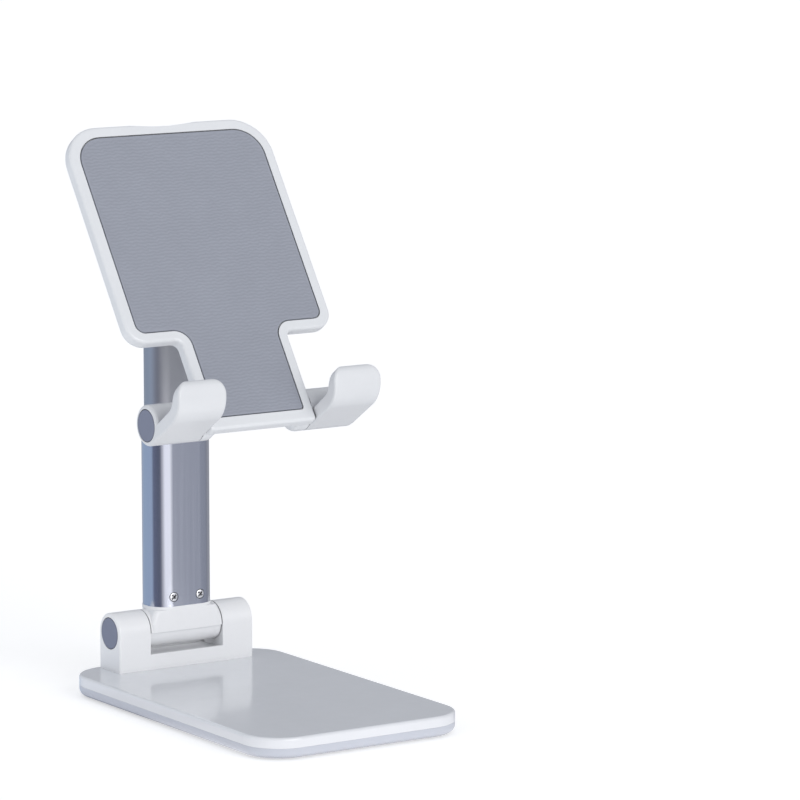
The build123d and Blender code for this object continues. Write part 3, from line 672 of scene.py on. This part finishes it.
def floor():
    me = bpy.data.meshes.new("floor")
    s = 14.0
    z = -0.00012                                        # a hair under the foot pad
    me.from_pydata([(-s, -s, z), (s, -s, z), (s, s, z), (-s, s, z)], [], [(0, 1, 2, 3)])
    ob = bpy.data.objects.new("floor", me)
    SCENE.collection.objects.link(ob)
    n = Nodes("floor_paper")
    n.to(n.mix(n.span(n.noise(3.0, 3.0), 0.3, 0.7, 0.0, 1.0), (0.735, 0.735, 0.735), (0.745, 0.745, 0.745)), "Base Color")
    n.set(Roughness=0.9, Specular_IOR_Level=0.1)
    n.set(Emission_Color=(1, 1, 1, 1), Emission_Strength=0.48)
    path = n.t.nodes.new("ShaderNodeLightPath")
    glow = n.t.nodes.new("ShaderNodeEmission")
    colour, _ = studio_colour(n.t, n.coord)
    n.t.links.new(colour, glow.inputs[0])
    pick = n.t.nodes.new("ShaderNodeMixShader")
    n.t.links.new(path.outputs["Is Glossy Ray"], pick.inputs[0])
    n.t.links.new(n.bsdf.outputs[0], pick.inputs[1])
    n.t.links.new(glow.outputs[0], pick.inputs[2])
    # seen from underneath, the paper is clear, so that the stand's underside shows
    clear = n.t.nodes.new("ShaderNodeBsdfTransparent")
    side = n.t.nodes.new("ShaderNodeNewGeometry")
    under = n.t.nodes.new("ShaderNodeMixShader")
    n.t.links.new(side.outputs["Backfacing"], under.inputs[0])
    n.t.links.new(pick.outputs[0], under.inputs[1])
    n.t.links.new(clear.outputs[0], under.inputs[2])
    n.t.links.new(under.outputs[0], n.out.inputs[0])
    me.materials.append(n.m)
    return ob


floor()

world = bpy.data.worlds.new("studio")
SCENE.world = world
world.use_nodes = True
wt = world.node_tree
wt.nodes.clear()
w_out = wt.nodes.new("ShaderNodeOutputWorld")
w_bg = wt.nodes.new("ShaderNodeBackground")
w_co = wt.nodes.new("ShaderNodeTexCoord")
w_path = wt.nodes.new("ShaderNodeLightPath")
w_pan, w_z = studio_colour(wt, w_co.outputs["Generated"], (0.0, 0.0))
w_up = wt.nodes.new("ShaderNodeMapRange")
w_up.interpolation_type = "SMOOTHSTEP"
wt.links.new(w_z, w_up.inputs["Value"])
for k, v in (("From Min", 0.20), ("From Max", 0.75), ("To Min", 0.0), ("To Max", 1.0)):
    w_up.inputs[k].default_value = v
w_hi = wt.nodes.new("ShaderNodeMix")
w_hi.data_type = "RGBA"
wt.links.new(w_up.outputs["Result"], w_hi.inputs["Factor"])
wt.links.new(w_pan, w_hi.inputs[6])
w_hi.inputs[7].default_value = (0.62, 0.64, 0.68, 1)
w_mix = wt.nodes.new("ShaderNodeMix")
w_mix.data_type = "RGBA"
wt.links.new(w_path.outputs["Is Glossy Ray"], w_mix.inputs["Factor"])
w_mix.inputs[6].default_value = (AMBIENT * 0.97, AMBIENT * 0.995, AMBIENT * 1.05, 1)
wt.links.new(w_hi.outputs[2], w_mix.inputs[7])
wt.links.new(w_mix.outputs[2], w_bg.inputs[0])
w_bg.inputs[1].default_value = 1.0
wt.links.new(w_bg.outputs[0], w_out.inputs[0])


def sun(name, azimuth, elevation, strength, angle, colour=(1, 1, 1)):
    """A soft distant light; azimuth 0 comes from -Y, 90 from +X."""
    la = bpy.data.lights.new(name, "SUN")
    la.energy, la.angle, la.color = strength, math.radians(angle), colour
    ob = bpy.data.objects.new(name, la)
    SCENE.collection.objects.link(ob)
    a, e = math.radians(azimuth), math.radians(elevation)
    d = Vector((math.sin(a) * math.cos(e), -math.cos(a) * math.cos(e), math.sin(e)))
    ob.rotation_euler = (-d).to_track_quat("-Z", "Y").to_euler()
    return ob


sun("key", 8, 23, 1.02, 40, (1.0, 0.995, 0.985))
sun("fill", -92, 16, 0.46, 70, (0.97, 0.99, 1.0))

SCENE.view_settings.view_transform = "Standard"
SCENE.view_settings.look = "None"
SCENE.view_settings.exposure = 0.0
SCENE.view_settings.gamma = 1.0
